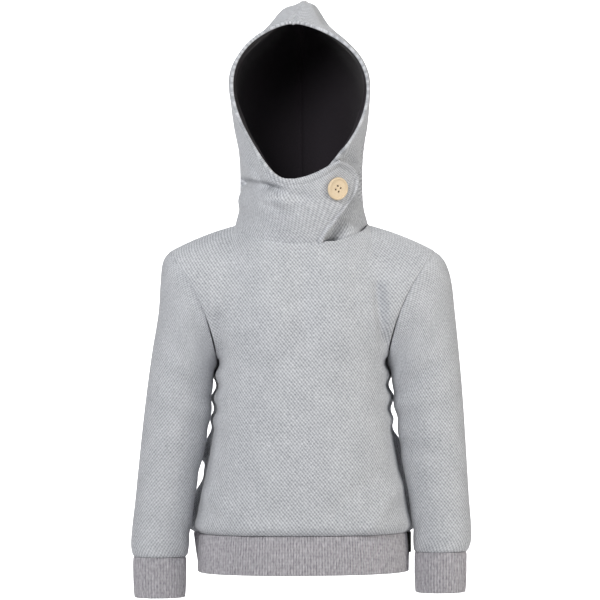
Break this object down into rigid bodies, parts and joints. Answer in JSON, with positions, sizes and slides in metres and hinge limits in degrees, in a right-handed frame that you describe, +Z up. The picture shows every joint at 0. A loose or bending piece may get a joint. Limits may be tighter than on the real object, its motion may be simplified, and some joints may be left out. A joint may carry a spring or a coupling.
{
  "type": "toddler hoodie",
  "caption": "Hooded pullover sweatshirt for a small child, worn shape: crossover hood with a buttoned tab, dark hood lining, long sleeves, ribbed hem and cuffs.",
  "frame": {"origin": "middle of the base of the neck, level with the shoulder points, where the wearer's shoulders and neck hold the garment", "axes": "+Z up, the front faces -Y, +X is the wearer's left"},
  "size_m": [0.3743, 0.188, 0.6485],
  "materials": {
    "grey_knit": "brushed pin-dot jersey, matt",
    "grey_rib": "melange ribbing, matt",
    "dark_lining": "smooth jersey, matt",
    "black_tape": "woven tape, low sheen",
    "pale_wood": "fine sanded pale wood, satin"
  },
  "bodies": {
    "root": {"body_front": "grey_knit", "body_back": "grey_knit", "sleeve_left": "grey_knit", "sleeve_right": "grey_knit", "hood_over": "grey_knit", "hood_under": "grey_knit", "hood_lining_left": "dark_lining", "hood_lining_right": "dark_lining", "hem_band_front": "grey_rib", "hem_band_back": "grey_rib", "cuff_left": "grey_rib", "cuff_right": "grey_rib", "side_label": "black_tape", "button": "pale_wood"}
  },
  "joints": []
}
